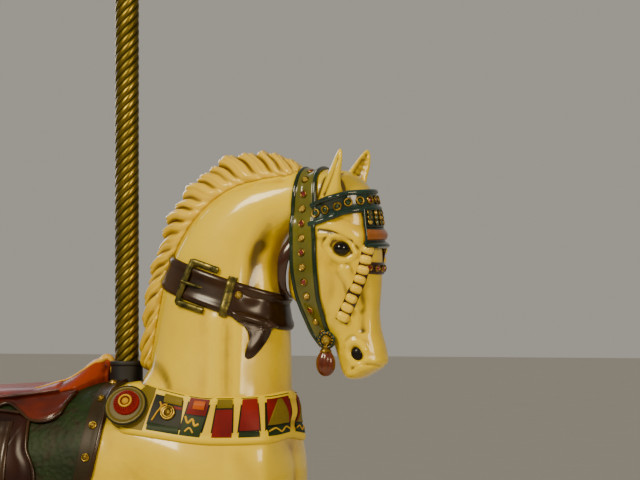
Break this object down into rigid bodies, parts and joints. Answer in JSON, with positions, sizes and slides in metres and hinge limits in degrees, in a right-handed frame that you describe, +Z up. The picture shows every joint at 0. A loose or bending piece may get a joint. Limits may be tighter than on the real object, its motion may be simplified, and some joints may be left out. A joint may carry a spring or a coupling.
{
  "type": "carousel jumping horse on its pole",
  "caption": "Carved jumping horse with bridle, neck strap and saddle on a twisted brass pole that slides up and down over a guide tube on a deck flange.",
  "frame": {"origin": "centre of the deck flange's underside, on the pole's axis, at deck level", "axes": "+Z up along the pole, +X the way the horse faces, +Y to the horse's left"},
  "size_m": [1.467, 0.494, 2.745],
  "materials": {
    "ivory_paint": "carved wood in glossy cream paint under amber varnish",
    "mane_paint": "carved wood in glossy golden paint",
    "hoof_paint": "carved wood in dark brown gloss paint",
    "brass": "polished brass gone dull in the grooves",
    "steel": "ground steel tube, lightly oiled",
    "cast_iron": "black painted cast iron",
    "nylon": "turned nylon",
    "black_rubber": "moulded black rubber",
    "teal_enamel": "carved relief in glossy teal green enamel",
    "brown_leather": "carved strap in glossy dark brown paint",
    "saddle_leather": "carved saddle in glossy red brown paint",
    "green_cloth": "carved saddle cloth in dark green paint",
    "aged_bronze": "cast bronze gone brown",
    "cream_beads": "carved beads in cream gloss paint",
    "red_enamel": "carved relief in red enamel with cream and gold",
    "dark_glass": "domed dark brown glass eye"
  },
  "bodies": {
    "deck_guide": {"deck_flange": "cast_iron", "guide_tube": "steel"},
    "horse": {"torso": "ivory_paint", "neck": "ivory_paint", "head": "ivory_paint", "ear_right": "ivory_paint", "ear_left": "ivory_paint", "fore_right_upper_leg": "ivory_paint", "fore_left_upper_leg": "ivory_paint", "hind_right_upper_leg": "ivory_paint", "hind_left_upper_leg": "ivory_paint", "fore_right_lower_leg": "ivory_paint", "fore_left_lower_leg": "ivory_paint", "hind_right_lower_leg": "ivory_paint", "hind_left_lower_leg": "ivory_paint", "mane": "mane_paint", "tail": "mane_paint", "fore_right_hoof": "hoof_paint", "fore_left_hoof": "hoof_paint", "hind_right_hoof": "hoof_paint", "hind_left_hoof": "hoof_paint", "pole": "brass", "pole_ferrule": "brass", "strap_keeper": "brass", "crank_bearing": "cast_iron", "pole_bushing": "nylon", "withers_collar": "black_rubber", "belly_collar": "black_rubber", "headstall": "teal_enamel", "browband": "teal_enamel", "face_plate": "teal_enamel", "throat_latch": "brown_leather", "neck_strap": "brown_leather", "strap_tip": "brown_leather", "girth": "brown_leather", "stirrup_leather_right": "brown_leather", "stirrup_leather_left": "brown_leather", "saddle_seat": "saddle_leather", "saddle_skirt_right": "saddle_leather", "saddle_skirt_left": "saddle_leather", "saddle_fender_right": "saddle_leather", "saddle_fender_left": "saddle_leather", "saddle_cloth": "green_cloth", "bit_rosette_right": "aged_bronze", "bit_rosette_left": "aged_bronze", "strap_buckle": "aged_bronze", "stirrup_right": "aged_bronze", "stirrup_left": "aged_bronze", "noseband": "cream_beads", "breast_collar": "red_enamel", "bit_drop": "red_enamel", "shoulder_rosette_right": "red_enamel", "shoulder_rosette_left": "red_enamel", "eye_right": "dark_glass", "eye_left": "dark_glass"}
  },
  "joints": [
    {"name": "rise_and_fall", "type": "slide", "parent": "deck_guide", "child": "horse", "axis": [0, 0, 1], "range_m": [-0.17, 0.17]}
  ]
}
